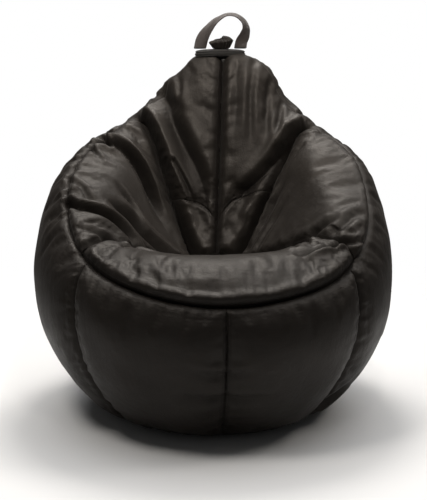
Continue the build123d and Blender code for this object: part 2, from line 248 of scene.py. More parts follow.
ROUTES = {
    "front_middle": upright(0, 0.0, rim_at(0)),
    "front_left": upright(FRONT_SEAM_L, 0.0, rim_at(FRONT_SEAM_L)),
    "front_right": upright(FRONT_SEAM_R, 0.0, rim_at(FRONT_SEAM_R)),
    "rear_left": upright(REAR_SEAM_L, 0.0, rim_at(REAR_SEAM_L)),
    "rear_right": upright(REAR_SEAM_R, 0.0, rim_at(REAR_SEAM_R)),
    "rear_middle": upright(180, 1.0, rim_at(180)),
    "lip": level_run(ARM_FRONT_L, ARM_FRONT_R, rim),
    "arm_outer_left": level_run(DEEP_SEAM_L, ARM_FRONT_L, rim),
    "arm_outer_right": level_run(ARM_FRONT_R, DEEP_SEAM_R, rim),
    "crown": level_run(DEEP_SEAM_R, 360 + DEEP_SEAM_L, rim),
    "arm_back_left": upright(DEEP_SEAM_L, rim_at(DEEP_SEAM_L), 2.86),
    "arm_back_right": upright(DEEP_SEAM_R, rim_at(DEEP_SEAM_R), 2.84),
    "back_middle": upright(BACK_SEAM, rim_at(BACK_SEAM), 2.86),
    "waist": level_run(DEEP_SEAM_R, 360 + DEEP_SEAM_L, waist),
    "seat_edge": seat_edge(),
}
print("seam lengths", {name: round(float(run_along(skin(*route))[-1]), 2) for name, route in ROUTES.items()})

# %% [markdown]
# The relief is everything that lifts or sinks the plain skin: the stuffed panels swell between their seams,
# the seams pull in, the cloth puckers beside them, and long folds run down into the seat where the bag
# gives. Each part of it depends only on the place on the skin, so neighbouring cover pieces meet exactly at
# their seam.


# %% distance to a line, and uneven waves
def nearest(points, line, reach):
    """for each point its distance to a line, how far along the line, and which side; inf beyond reach"""
    low, high = line.min(0) - reach, line.max(0) + reach
    close = np.where(np.all((points > low) & (points < high), axis=1))[0]
    distance = np.full(len(points), np.inf)
    along = np.zeros(len(points))
    offset = np.zeros((len(points), 3))
    run = run_along(line)
    a, d = line[:-1], np.diff(line, axis=0)
    size = (d * d).sum(1)
    for part in np.array_split(close, max(1, len(close) // 4000 + 1)):
        if not len(part):
            continue
        p = points[part][:, None, :] - a[None]
        t = np.clip((p * d[None]).sum(2) / size[None], 0, 1)
        gap = p - t[..., None] * d[None]
        far = (gap**2).sum(2)
        k = far.argmin(1)
        rows = np.arange(len(part))
        distance[part] = np.sqrt(far[rows, k])
        along[part] = run[k] + t[rows, k] * np.sqrt(size[k])
        offset[part] = np.cross(d[k] / np.sqrt(size[k])[:, None], gap[rows, k])
    distance[distance > reach] = np.inf
    return distance, along, offset, run[-1]


def ripple(x, pitch, seed):
    """smooth uneven wave between -1 and 1, about one crest per pitch"""
    rng = np.random.RandomState(seed)
    knots = rng.uniform(-1, 1, 4096) * np.where(np.arange(4096) % 2, 1.0, -0.75)
    q = x / (pitch / 2) + 64
    i = np.floor(q).astype(int) % 4095
    f = q - np.floor(q)
    f = f * f * (3 - 2 * f)
    return knots[i] * (1 - f) + knots[i + 1] * f


print("a wave", ripple(np.linspace(0, 0.1, 5), 0.05, 1).round(2))

# %% seams: depth and width of the pull-in, height and length of puckers, their pitch, lift on either side
SEAMS = {
    "front_middle": (0.0030, 0.005, 0.0012, 0.030, 0.026, 0.002, 0.002),
    "front_left": (0.0045, 0.005, 0.0036, 0.036, 0.026, 0.002, 0.002),
    "front_right": (0.0045, 0.005, 0.0036, 0.036, 0.028, 0.002, 0.002),
    "rear_left": (0.0045, 0.006, 0.0030, 0.036, 0.028, 0.002, 0.002),
    "rear_right": (0.0045, 0.006, 0.0030, 0.036, 0.028, 0.002, 0.002),
    "rear_middle": (0.0035, 0.006, 0.0020, 0.030, 0.028, 0.002, 0.002),
    "lip": (0.0150, 0.008, 0.0014, 0.060, 0.050, 0.009, 0.0),
    "arm_outer_left": (0.0075, 0.006, 0.0075, 0.046, 0.024, 0.003, 0.001),
    "arm_outer_right": (0.0060, 0.006, 0.0040, 0.042, 0.028, 0.003, 0.001),
    "crown": (0.0050, 0.007, 0.0040, 0.046, 0.026, 0.002, 0.002),
    "arm_back_left": (0.0300, 0.010, 0.0030, 0.050, 0.045, 0.014, 0.003),
    "arm_back_right": (0.0280, 0.010, 0.0030, 0.050, 0.045, 0.003, 0.013),
    "back_middle": (0.0200, 0.007, 0.0020, 0.040, 0.050, 0.004, 0.003),
    "waist": (0.0030, 0.004, 0.0012, 0.030, 0.035, 0.002, 0.0),
    "seat_edge": (0.0080, 0.008, 0.0040, 0.040, 0.032, 0.002, 0.002),
}
print("seams with relief", len(SEAMS))

# %% folds: places it runs through, width, depth, lift on its left and right, fullness at its start and end
FOLDS = [
    ([(-119, 1.97), (-121, 2.20), (-122, 2.40), (-116, 2.60)], 0.009, 0.034, 0.016, 0.004, 0.6, 0.1),
    ([(-121, 1.86), (-122, 1.95), (-117, 2.10)], 0.005, 0.012, 0.007, 0.003, 0.2, 0.4),
    ([(-114, 1.88), (-113, 1.97), (-107, 2.12)], 0.005, 0.009, 0.006, 0.002, 0.3, 0.2),
    ([(-80, 1.93), (-77, 2.10), (-74, 2.33), (-64, 2.46)], 0.008, 0.030, 0.014, 0.005, 1.0, 0.3),
    ([(-86, 2.24), (-87, 2.41), (-85, 2.56), (-84, 2.78)], 0.013, 0.034, 0.013, 0.006, 0.1, 0.8),
    ([(-100, 2.28), (-97, 2.42), (-92, 2.52)], 0.006, 0.012, 0.006, 0.002, 0.2, 0.2),
    ([(-66, 2.00), (-58, 2.16), (-45, 2.24), (-30, 2.24)], 0.008, 0.018, 0.010, 0.003, 0.5, 0.3),
    ([(-92, 1.93), (-88, 2.05), (-80, 2.14)], 0.006, 0.007, 0.004, 0.003, 0.8, 0.0),
    ([(-148, 2.40), (-153, 2.50), (-158, 2.60)], 0.005, 0.012, 0.006, 0.003, 0.8, 0.2),
    ([(-154, 1.98), (-153, 2.23), (-158, 2.40), (-172, 2.60)], 0.018, 0.020, 0.010, 0.004, 0.8, 0.5),
    ([(-163, 2.02), (-162, 2.12), (-160, 2.20)], 0.006, 0.007, 0.003, 0.002, 0.5, 0.1),
    ([(121, 2.16), (123, 2.32), (129, 2.45), (140, 2.56)], 0.013, 0.028, 0.005, 0.010, 0.4, 0.4),
    ([(118, 2.46), (119, 2.56), (117, 2.68)], 0.006, 0.014, 0.004, 0.008, 0.4, 0.4),
    ([(152, 2.04), (148, 2.22), (142, 2.38)], 0.007, 0.008, 0.004, 0.003, 0.6, 0.1),
    ([(143, 2.02), (138, 2.16), (133, 2.30)], 0.007, 0.009, 0.004, 0.003, 0.6, 0.1),
    ([(134, 2.02), (131, 2.12), (128, 2.24)], 0.006, 0.008, 0.004, 0.003, 0.6, 0.1),
    ([(160, 2.10), (157, 2.26), (155, 2.42)], 0.009, 0.005, 0.002, 0.003, 0.4, 0.2),
    ([(108, 2.38), (108, 2.54), (104, 2.74)], 0.010, 0.013, 0.005, 0.008, 0.1, 0.8),
    ([(98, 2.44), (96, 2.60), (88, 2.74)], 0.010, 0.007, 0.004, 0.004, 0.1, 0.6),
    ([(63, 2.06), (59, 2.24), (46, 2.20), (38, 2.14)], 0.009, 0.015, 0.009, 0.003, 0.2, 0.6),
    ([(56, 1.72), (53, 1.89), (44, 1.97), (33, 1.98)], 0.008, 0.020, 0.013, 0.003, 0.7, 0.3),
    ([(68, 1.80), (64, 1.96), (55, 2.08)], 0.009, 0.009, 0.006, 0.004, 0.3, 0.2),
    ([(-13, 0.81), (-1, 0.77), (10, 0.80)], 0.010, 0.006, 0.004, 0.002, 0.0, 0.0),
    ([(-18, 0.66), (-2, 0.62), (18, 0.65)], 0.012, 0.011, 0.006, 0.003, 0.0, 0.0),
    ([(58, 0.55), (52, 0.40), (43, 0.30)], 0.012, 0.012, 0.014, 0.002, 0.1, 0.1),
    ([(-24, 1.24), (-8, 1.12), (8, 1.16), (22, 1.26)], 0.030, 0.006, 0.0, 0.0, 0.1, 0.1),
    ([(-34, 1.62), (-14, 1.50), (4, 1.46)], 0.012, 0.005, 0.003, 0.003, 0.2, 0.1),
]
# broad swellings and hollows: azimuth, level, radius, height
PUFFS = [(147, 1.97, 0.060, 0.026), (158, 1.98, 0.032, 0.010), (186, 1.98, 0.045, 0.014),
         (201, 1.98, 0.05, 0.008), (98, 2.05, 0.110, 0.010), (-95, 2.02, 0.080, 0.006),
         (-30, 0.35, 0.12, -0.004), (30, 0.35, 0.12, -0.004)]
print("folds", len(FOLDS), "and puffs", len(PUFFS))

# %% relief
FOLD_POINTS = 28


def smooth_route(points):
    """rounded route through a few places on the skin"""
    p = np.array(points, float)
    t = np.linspace(0, 1, FOLD_POINTS)
    knots = np.linspace(0, 1, len(p))
    slope = np.gradient(p, knots, axis=0)
    i = np.clip(np.searchsorted(knots, t, side="right") - 1, 0, len(p) - 2)
    h = knots[i + 1] - knots[i]
    f = ((t - knots[i]) / h)[:, None]
    h = h[:, None]
    q = ((2 * f**3 - 3 * f**2 + 1) * p[i] + (f**3 - 2 * f**2 + f) * h * slope[i]
         + (3 * f**2 - 2 * f**3) * p[i + 1] + (f**3 - f**2) * h * slope[i + 1])
    return q[:, 0], q[:, 1]


LUMP, BULGE = 0.005, 0.009               # height of soft lumps, and how far a panel swells between its seams
SEAM_REACH, FOLD_REACH = 0.16, 0.09      # how far from its line each still shows
UNDERSIDE = -0.3                         # faces that look down more than this are kept nearly flat


def relief(points, normals):
    """how far each place of the skin stands proud of the plain shape"""
    flat = points.reshape(-1, 3)
    out = normals.reshape(-1, 3)
    lift = np.zeros(len(flat))
    closest = np.full(len(flat), 0.3)
    sink = np.zeros(len(flat))
    for k, (name, (depth, width, pucker, length, pitch, left, right)) in enumerate(SEAMS.items()):
        d, along, side, total = nearest(flat, skin(*ROUTES[name]), SEAM_REACH)
        near = np.isfinite(d)
        dn, an = d[near], along[near]
        s = np.sign((side[near] * out[near]).sum(1))
        closest[near] = np.minimum(closest[near], dn)
        uneven = 1 + 0.25 * ripple(an, 0.11, 40 + k)
        sink[near] = np.maximum(sink[near], depth * uneven * np.exp(-(dn / width)**1.15))
        ends = np.clip(np.minimum(an, total - an) / 0.02, 0, 1)
        wave = ripple(an + 0.35 * dn * s, pitch, 7 * k + 3) * (0.55 + 0.45 * ripple(an, 0.09, 90 + k))
        envelope = (1 - np.exp(-dn / 0.004)) * np.exp(-(dn / length)**1.3) * ends
        lift[near] += pucker * wave * envelope * (1 + 0.3 * s * ripple(an, 0.05, 17 + k))
        swell = np.where(s > 0, left, right) * np.exp(-((dn - 2.4 * width) / (1.9 * width))**2)
        lift[near] += swell * ends
    lift -= sink
    for k, (places, width, depth, left, right, start, end) in enumerate(FOLDS):
        d, along, side, total = nearest(flat, skin(*smooth_route(places)), FOLD_REACH)
        near = np.isfinite(d)
        dn, t = d[near], along[near] / total
        s = np.sign((side[near] * out[near]).sum(1))
        x = dn / width
        opening = mix(start, 1, np.clip(t / 0.35, 0, 1))
        closing = mix(end, 1, np.clip((1 - t) / 0.35, 0, 1))
        taper = np.clip(np.minimum(opening, closing), 0, 1)
        groove = -depth * (0.62 * np.exp(-1.25 * x**1.15) + 0.38 * np.exp(-(x / 2.1)**2))
        ridge = np.where(s > 0, left, right) * np.exp(-((x - 2.1) / 1.15)**2)
        lift[near] += taper * (groove + ridge)
    for azimuth, level, radius, height in PUFFS:
        far = ((flat - skin(azimuth, level))**2).sum(1)
        lift += height * np.exp(-far / radius**2)
    lift += BULGE * (1 - np.exp(-closest / 0.045)) - 0.6 * BULGE
    lumps = np.array([noise.noise(Vector(p) * 6.5) + 0.45 * noise.noise(Vector(p) * 15 + Vector((7, 3, 1)))
                      for p in flat])
    lift += LUMP * lumps
    floor_fade = np.clip(flat[:, 2] / 0.05, 0, 1)
    raised = np.minimum(np.maximum(lift, 0) * floor_fade, 0.004)
    below = raised * floor_fade + np.minimum(lift, 0) * floor_fade
    above = lift * np.clip(flat[:, 2] / 0.02, 0, 1)
    return np.where(out[:, 2] < UNDERSIDE, below, above).reshape(points.shape[:-1])


print("relief at the front", relief(skin(np.array([0.0]), 1.2), normal(np.array([0.0]), 1.2)).round(4))


# %% [markdown]
# The cover is cut larger than the bag and the beads push it out, so it bulges and wrinkles between its
# seams. A cloth simulation gives that: an even mesh of the whole bag is held at its seams and at the floor,
# the cloth is a little too large, and pressure pushes it out for twenty frames. What each place moved is
# kept, up to a limit, and is added to the relief of every cover piece.

# %% cloth simulation
VOXEL = 0.009
SLACK = 0.03
PRESSURE = 4.0
MOST_MOVED = 0.009
SETTLE_FRAMES = 20
FLOOR_SHARE = 0.08      # share of the ball that becomes the flat underside
TOP_LEVEL = 2.995       # just short of the middle of the seat, where the skin closes to a point
HELD_REACH = 0.05       # how far from a seam the hold is worked out


def ball_places(ball):
    """azimuth, level and share of the height of each point of a unit sphere"""
    rising = 1 - np.degrees(np.arccos(np.clip(ball[:, 2], -1, 1))) / 180
    level = np.clip((rising - FLOOR_SHARE) / (1 - FLOOR_SHARE), 0, 1) * TOP_LEVEL
    return np.degrees(np.arctan2(ball[:, 0], -ball[:, 1])), level, rising


def as_mesh(bm, name):
    """a mesh with this name from a bmesh that is done with"""
    mesh = bpy.data.meshes.new(name)
    bm.to_mesh(mesh)
    bm.free()
    return mesh


def points_of(mesh):
    co = np.empty(len(mesh.vertices) * 3, dtype=np.float32)
    mesh.vertices.foreach_get("co", co)
    return co.reshape(-1, 3).astype(float)


def ball_mesh(name, segments, rows):
    """a unit ball and its points"""
    bm = bmesh.new()
    bmesh.ops.create_uvsphere(bm, u_segments=segments, v_segments=rows, radius=1)
    mesh = as_mesh(bm, name)
    return mesh, points_of(mesh)


def ring(r, azimuth, z):
    a = np.radians(azimuth)
    return np.stack([r * np.sin(a), -r * np.cos(a), z], -1)


def settled():
    """start places of the even mesh and how far each one moved"""
    mesh, ball = ball_mesh("settling", 150, 130)
    turned, level, rising = ball_places(ball)
    place = skin(turned, level)
    flat_r = FOOT_RADIUS * np.minimum(rising / FLOOR_SHARE, 1)
    disc = ring(flat_r, turned, 0 * flat_r)
    place[rising < FLOOR_SHARE] = disc[rising < FLOOR_SHARE]
    mesh.vertices.foreach_set("co", place.ravel())
    rough = bpy.data.objects.new("settling", mesh)
    bpy.context.scene.collection.objects.link(rough)
    even = rough.modifiers.new("even", "REMESH")
    even.mode, even.voxel_size = "VOXEL", VOXEL
    even_mesh = bpy.data.meshes.new_from_object(rough.evaluated_get(bpy.context.evaluated_depsgraph_get()))
    bpy.data.objects.remove(rough)
    cloth_piece = bpy.data.objects.new("settling_cloth", even_mesh)
    bpy.context.scene.collection.objects.link(cloth_piece)
    start = points_of(even_mesh)
    gap = np.full(len(start), HELD_REACH)
    for route in ROUTES.values():
        gap = np.minimum(gap, nearest(start, skin(*route), HELD_REACH)[0])
    held = np.clip(1.4 - gap / 0.009, 0, 1)
    held[start[:, 2] < 0.014] = 1
    group = cloth_piece.vertex_groups.new(name="sewn")
    for step in range(1, 11):
        chosen = np.where(np.ceil(held * 10) == step)[0]
        group.add(chosen.tolist(), step / 10, "REPLACE")
    cloth = cloth_piece.modifiers.new("cloth", "CLOTH")
    cloth.settings.quality = 5
    cloth.settings.mass = 0.25
    cloth.settings.tension_stiffness = cloth.settings.compression_stiffness = 12
    cloth.settings.shear_stiffness = 4
    cloth.settings.bending_stiffness = 2.0
    cloth.settings.use_pressure = True
    cloth.settings.uniform_pressure_force = PRESSURE
    cloth.settings.vertex_group_mass = "sewn"
    cloth.settings.shrink_min = -SLACK
    cloth.settings.effector_weights.gravity = 0
    cloth.collision_settings.use_collision = False
    cloth.point_cache.frame_start, cloth.point_cache.frame_end = 1, SETTLE_FRAMES
    for tick in range(1, SETTLE_FRAMES + 1):
        bpy.context.scene.frame_set(tick)
    done = cloth_piece.evaluated_get(bpy.context.evaluated_depsgraph_get())
    moved = points_of(done.to_mesh()) - start
    done.to_mesh_clear()
    bpy.data.objects.remove(cloth_piece)
    bpy.context.scene.frame_set(1)
    size = np.linalg.norm(moved, axis=1)
    print("cloth", len(start), "points, moved", round(size.mean(), 4), "to", round(size.max(), 4), "m")
    moved *= (MOST_MOVED * np.tanh(size / MOST_MOVED) / np.maximum(size, 1e-9))[:, None]
    return start, moved


settle_tree, settle_moved = None, None
settle_start, settle_moved = settled()
settle_tree = KDTree(len(settle_start))
for k, p in enumerate(settle_start):
    settle_tree.insert(p, k)
settle_tree.balance()


def settle(points):
    """how far the cloth moved at these places of the plain skin"""
    if settle_tree is None:
        return np.zeros(points.shape)
    flat = points.reshape(-1, 3)
    moved = np.zeros(flat.shape)
    for k, p in enumerate(flat):
        found = settle_tree.find_n(p, 5)
        weights = np.array([1 / (f[2]**2 + 4e-6) for f in found])
        moved[k] = weights @ settle_moved[[f[1] for f in found]] / weights.sum()
    return moved.reshape(points.shape)


def cover(azimuth, level, extra=0.0):
    """the finished outer face of the cover, and how far it stands proud"""
    azimuth, level = np.broadcast_arrays(np.asarray(azimuth, float), np.asarray(level, float))
    p, n = skin(azimuth, level), normal(azimuth, level)
    lift = relief(p, n)
    return p + n * (lift + extra)[..., None] + settle(p), lift


# %% [markdown]
# Each cover piece starts as a flat bmesh grid. Its vertices are then moved onto the skin, closer together
# near the seams where the relief is sharpest. A Solidify modifier gives the leather its thickness inwards.

# %% cover pieces
MESH_STEP = 0.0036      # usual distance between vertices
CROWD = 0.45            # how much closer they stand at the edges


def crowd(t):
    return t - CROWD * np.sin(2 * np.pi * t) / (2 * np.pi)


def grid_mesh(name, nu, nv):
    """flat grid of nu by nv cells with its unit coordinates"""
    bm = bmesh.new()
    bmesh.ops.create_grid(bm, x_segments=nu, y_segments=nv, size=0.5)
    mesh = as_mesh(bm, name)
    co = points_of(mesh)
    return mesh, np.clip(co[:, 0] + 0.5, 0, 1), np.clip(co[:, 1] + 0.5, 0, 1)


def add_object(mesh):
    obj = bpy.data.objects.new(mesh.name, mesh)
    bpy.context.scene.collection.objects.link(obj)
    for polygon in mesh.polygons:
        polygon.use_smooth = True
    return obj


def add_piece(mesh, node, body="bag"):
    """a finished object that stands for a node of the construction"""
    obj = add_object(mesh)
    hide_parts(node)
    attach(obj, body)
    return obj


def cover_piece(node, spread, width, height):
    """spread turns unit coordinates into azimuth and level"""
    nu, nv = max(8, round(width / MESH_STEP)), max(8, round(height / MESH_STEP))
    mesh, u, v = grid_mesh(node.replace("panel", "cover"), nu, nv)
    azimuth, level = spread(crowd(u), crowd(v))
    place, lift = cover(azimuth, level)
    mesh.vertices.foreach_set("co", place.ravel())
    # the leather reads this height: paler on raised folds, which is rubbed wear, and darker in the creases,
    # which is painted shade
    proud = mesh.attributes.new("proud", "FLOAT", "POINT")
    proud.data.foreach_set("value", lift / 0.01)
    mesh.update()
    middle = mesh.polygons[len(mesh.polygons) // 2]
    corner = middle.vertices[0]
    out = normal(azimuth[corner:corner + 1], level[corner:corner + 1])[0]
    if Vector(out).dot(middle.normal) < 0:
        mesh.flip_normals()
    obj = add_piece(mesh, node)
    shell = obj.modifiers.new("leather", "SOLIDIFY")
    shell.thickness, shell.offset = COVER, -1
    print(node, nu, "by", nv)
    return obj


print("cells of", MESH_STEP, "m")


# %% where each cover piece lies
def between(a0, a1, lower, upper):
    def place(u, v):
        a = mix(a0, a1, u)
        return a, mix(lower(a), upper(a), v)
    return place


def at_level(value):
    return lambda a: np.full(np.shape(a), float(value))


def above_zip(a):
    return 1 + ZIP_GAP / 2 / (1.8 * (crest(a)[1] - BELLY_HEIGHT))


below_zip = at_level(1 - ZIP_GAP / 2 / (1.5 * BELLY_HEIGHT))
foot = at_level(0.004)
seat_left = float(skin(ARM_FRONT_L, rim(ARM_FRONT_L))[0])
seat_right = float(skin(ARM_FRONT_R, rim(ARM_FRONT_R))[0])


def seat_place(u, v):
    x = mix(seat_left + 0.001, seat_right - 0.001, u)
    columns, back = np.unique(np.round(x, 7), return_inverse=True)

    def beside_column(a):
        return skin(a, rim(a))[..., 0] - columns
    a = solve(beside_column, np.full(columns.shape, -80.0), np.full(columns.shape, 80.0))
    front = skin(a, rim(a))[..., 1][back]
    return over(x, mix(front, seat_back(x), v))


leather_pieces = [
    cover_piece("front_left_panel", between(FRONT_SEAM_L, 0, foot, rim), 0.38, 0.53),
    cover_piece("front_right_panel", between(0, FRONT_SEAM_R, foot, rim), 0.35, 0.53),
    cover_piece("side_left_panel", between(REAR_SEAM_L, FRONT_SEAM_L, foot, rim), 0.55, 0.70),
    cover_piece("side_right_panel", between(FRONT_SEAM_R, REAR_SEAM_R, foot, rim), 0.58, 0.70),
    cover_piece("rear_lower_panel", between(REAR_SEAM_R, 360 + REAR_SEAM_L, foot, below_zip), 0.74, 0.40),
    cover_piece("rear_right_panel", between(REAR_SEAM_R, 180, above_zip, rim), 0.37, 0.58),
    cover_piece("rear_left_panel", between(180, 360 + REAR_SEAM_L, above_zip, rim), 0.37, 0.58),
    cover_piece("seat_panel", seat_place, 0.66, 0.50),
    cover_piece("arm_left_panel", between(DEEP_SEAM_L, ARM_FRONT_L - 0.4, rim, back_edge), 0.52, 0.42),
    cover_piece("arm_right_panel", between(ARM_FRONT_R + 0.4, DEEP_SEAM_R, rim, back_edge), 0.46, 0.42),
    cover_piece("backrest_right_panel", between(DEEP_SEAM_R, BACK_SEAM, rim, waist), 0.24, 0.44),
    cover_piece("backrest_left_panel", between(BACK_SEAM, 360 + DEEP_SEAM_L, rim, waist), 0.24, 0.44),
    cover_piece("lumbar_right_panel", between(DEEP_SEAM_R, BACK_SEAM, waist, back_edge), 0.13, 0.13),
    cover_piece("lumbar_left_panel", between(BACK_SEAM, 360 + DEEP_SEAM_L, waist, back_edge), 0.12, 0.13),
]

# %% [markdown]
# Under the cover lies the inner bag that holds the beads. A sphere already has closed poles and a closed
# seam, so its points are moved onto the skin. Each is then sunk below the deepest crease found around it,
# by a margin.

# %% inner bag
INNER_MARGIN, INNER_FOOT_GAP = 0.018, 0.008
inner_mesh, ball = ball_mesh("inner_bag", 120, 100)
turned, levels, rising = ball_places(ball)
levels = np.clip(levels, 0, 2.99)
lowest = 0 * turned
for da in (-3, 0, 3):
    for ds in (-0.035, 0, 0.035):
        a, s = turned + da, np.clip(levels + ds, 0.001, 2.99)
        lowest = np.minimum(lowest, relief(skin(a, s), normal(a, s)))
inside = skin(turned, levels) + normal(turned, levels) * (lowest - INNER_MARGIN)[:, None]
on_floor = rising < FLOOR_SHARE
flat_r = FOOT_RADIUS * rising / FLOOR_SHARE - INNER_FOOT_GAP
inside[on_floor] = ring(flat_r, turned, 0 * flat_r)[on_floor]
inside[:, 2] = np.maximum(inside[:, 2], base_high[2] + 0.0015)
inner_mesh.vertices.foreach_set("co", inside.ravel())
inner_mesh.update()
inner_bag = add_piece(inner_mesh, "filled_liner")
print("inner bag", len(inner_mesh.vertices), "vertices")

# %% [markdown]
# Topstitching: short lengths of thread that lie on the leather from hole to hole. Each is a thin capsule of
# a few dozen faces, copied along a line that runs beside its seam and follows the finished face of the
# cover.

# %% one stitch and its line
STITCH_PITCH = 0.0046
STITCH_LENGTH = 0.0036
THREAD_RADIUS = 0.00042


def stitch_line(route, aside):
    """points and directions along a seam, moved sideways over the skin"""
    line = skin(*route)
    run = run_along(line)
    count = int((run[-1] - 0.02) / STITCH_PITCH)
    at = 0.01 + STITCH_PITCH * np.arange(count)
    a, s = np.interp(at, run, route[0]), np.interp(at, run, route[1])
    return beside(a, s, aside)


def beside(a, s, aside):
    """places at a distance to one side of a route, on the skin"""
    p = skin(a, s)
    n = normal(a, s)
    along = unit(np.gradient(p, axis=0))
    away = unit(np.cross(n, along)) * aside
    da = skin(a + 0.2, s) - skin(a - 0.2, s)
    ds = skin(a, np.minimum(s + 0.002, 2.99)) - skin(a, s - 0.002)
    du, dv = 0.4, 0.004
    gaa, gas, gss = (da * da).sum(-1), (da * ds).sum(-1), (ds * ds).sum(-1)
    ba, bs = (away * da).sum(-1), (away * ds).sum(-1)
    det = gaa * gss - gas * gas
    return a + du * (ba * gss - bs * gas) / det, s + dv * (bs * gaa - ba * gas) / det


def thread_shape():
    bm = bmesh.new()
    bmesh.ops.create_uvsphere(bm, u_segments=6, v_segments=5, radius=THREAD_RADIUS)
    for v in bm.verts:
        x, y, z = v.co
        v.co = (x, y, z + math.copysign(STITCH_LENGTH / 2 - THREAD_RADIUS, z) if abs(z) > 1e-6 else z)
    return as_mesh(bm, "thread")


def copy_into(bm, pattern, place):
    """one more copy of a small mesh, at a place given as a matrix"""
    copy = pattern.copy()
    copy.transform(place)
    bm.from_mesh(copy)
    bpy.data.meshes.remove(copy)


thread_mesh = thread_shape()
print("one stitch has", len(thread_mesh.polygons), "faces")


# %% stitches
def stitches(name, rows):
    """one object with every stitch of these rows: (seam, from, to, distance aside)"""
    bm = bmesh.new()
    for seam, low, high, aside in rows:
        a, s = stitch_line(part_of(seam, low, high), aside)
        p = cover(a, s, 0.0002)[0]
        n = normal(a, s)
        along = unit(np.gradient(p, axis=0))
        across = unit(np.cross(n, along))
        out = np.cross(along, across)
        for k in range(len(p)):
            turned_to = Matrix([across[k], out[k], along[k]]).transposed()
            copy_into(bm, thread_mesh, Matrix.Translation(p[k]) @ turned_to.to_4x4())
    mesh = as_mesh(bm, name)
    obj = add_object(mesh)
    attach(obj, "bag")
    print(name, len(mesh.polygons), "faces")
    return obj


def part_of(name, low, high):
    """the piece of a seam's route between two shares of its length"""
    a, s = ROUTES[name]
    i, j = int(low * len(a)), int(high * len(a))
    return a[i:j], s[i:j]


ROW = 0.0055       # from a seam to the row of stitches beside it
STITCH_ROWS = {
    "stitches_front": [("front_middle", 0.06, 1, -ROW), ("front_middle", 0.06, 1, ROW),
                       ("lip", 0.02, 0.98, 0.007)],
    "stitches_front_sides": [("front_left", 0.06, 1, -ROW), ("front_left", 0.7, 1, ROW),
                             ("front_right", 0.06, 1, ROW)],
    "stitches_arms": [("arm_outer_left", 0.02, 0.98, ROW), ("arm_outer_right", 0.02, 0.98, ROW)],
    "stitches_waist": [("waist", 0.04, 0.96, -0.005), ("waist", 0.04, 0.96, 0.005)],
    "stitches_seat": [("seat_edge", 0.05, 0.95, -0.008), ("seat_edge", 0.05, 0.95, 0.006)],
    "stitches_back": [("back_middle", 0.04, 0.86, -0.008), ("crown", 0.05, 0.95, -ROW)],
    "stitches_rear": [("rear_left", 0.06, 0.98, ROW), ("rear_right", 0.06, 0.98, -ROW),
                      ("rear_middle", 0.04, 0.98, ROW), ("rear_middle", 0.04, 0.98, -ROW)],
}
thread_pieces = [stitches(name, rows) for name, rows in STITCH_ROWS.items()]

# %% [markdown]
# The zip runs across the back. Its tapes and teeth follow the same ring as the construction. Each tooth is
# one small oval bead of nylon, so a coil is a few hundred copies of a shape with a few dozen faces.

# %% zip coils
coil_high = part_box("zip_coil_upper")[1]
COIL_RADIUS = coil_high[1]
COIL_HALF = 37.6                           # degrees to either side of the middle
TOOTH_PITCH = 0.0022
TOOTH_SIZE = (0.0012, 0.0019, 0.0019)
TOOTH_DEPTH, TOOTH_ASIDE = 0.001, 0.0018   # inside the coil's face, and above or below the zip's middle


def coil(name, side):
    bm = bmesh.new()
    shape = bmesh.new()
    bmesh.ops.create_uvsphere(shape, u_segments=8, v_segments=5, radius=0.5)
    bmesh.ops.scale(shape, vec=TOOTH_SIZE, verts=shape.verts)
    tooth = as_mesh(shape, "tooth")
    on_ring = Matrix.Translation((0, COIL_RADIUS - TOOTH_DEPTH, BELLY_HEIGHT + side * TOOTH_ASIDE))
    count = int(2 * math.radians(COIL_HALF) * COIL_RADIUS / TOOTH_PITCH)
    for k in range(count):
        a = math.radians(mix(-COIL_HALF, COIL_HALF, (k + 0.5) / count))
        copy_into(bm, tooth, Matrix.Rotation(a, 4, "Z") @ on_ring)
    return add_piece(as_mesh(bm, name), "zip_" + name)


coil_pieces = [coil("coil_upper", 1), coil("coil_lower", -1)]
print("coil radius", round(COIL_RADIUS, 4))


# %% zip tapes
def tape(name, node, side):
    """woven tape with a rolled edge beside the coil"""
    low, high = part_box(node)
    mesh, u, v = grid_mesh(name, 150, 8)
    half = 180 - REAR_SEAM_R - 0.4
    a = np.radians(mix(-half, half, u))
    near = low[2] if side > 0 else high[2]
    far = high[2] if side > 0 else low[2]
    r = high[1] - 0.0004 + 0.0004 * np.exp(-v / 0.12)
    mesh.vertices.foreach_set("co", np.stack([-r * np.sin(a), r * np.cos(a), mix(near, far, v)], -1).ravel())
    mesh.update()
    if mesh.polygons[0].normal.y < 0:
        mesh.flip_normals()
    obj = add_piece(mesh, node)
    wall = obj.modifiers.new("tape", "SOLIDIFY")
    wall.thickness, wall.offset = 0.0007, -1
    return obj


tape_pieces = [tape("tape_upper", "zip_tape_upper", 1), tape("tape_lower", "zip_tape_lower", -1)]
print("tapes", [len(piece.data.polygons) for piece in tape_pieces])

# %% [markdown]
# The carrying loop is one length of webbing whose two ends show their face to the front and which turns
# over at the top. A thin block is cut into fine cells and bent along the loop's line. Ribs run along its
# length and it cups slightly across its width; the round hems close its two ends.

# %% the loop's line
swing = next(j for j in frame["joints"] if j["name"] == "handle_swing")
NECK = Vector(swing["pos_m"])
STRAP_WIDTH, STRAP_THICKNESS = 0.032, 0.0034
STRAP_TWIST = 82.0
STRAP_ROUTE = [(-60, 0), (-54, 24), (-39, 50), (-13, 77), (20, 88),
               (48, 77), (61, 54), (57, 32), (48, 15), (45, 0)]


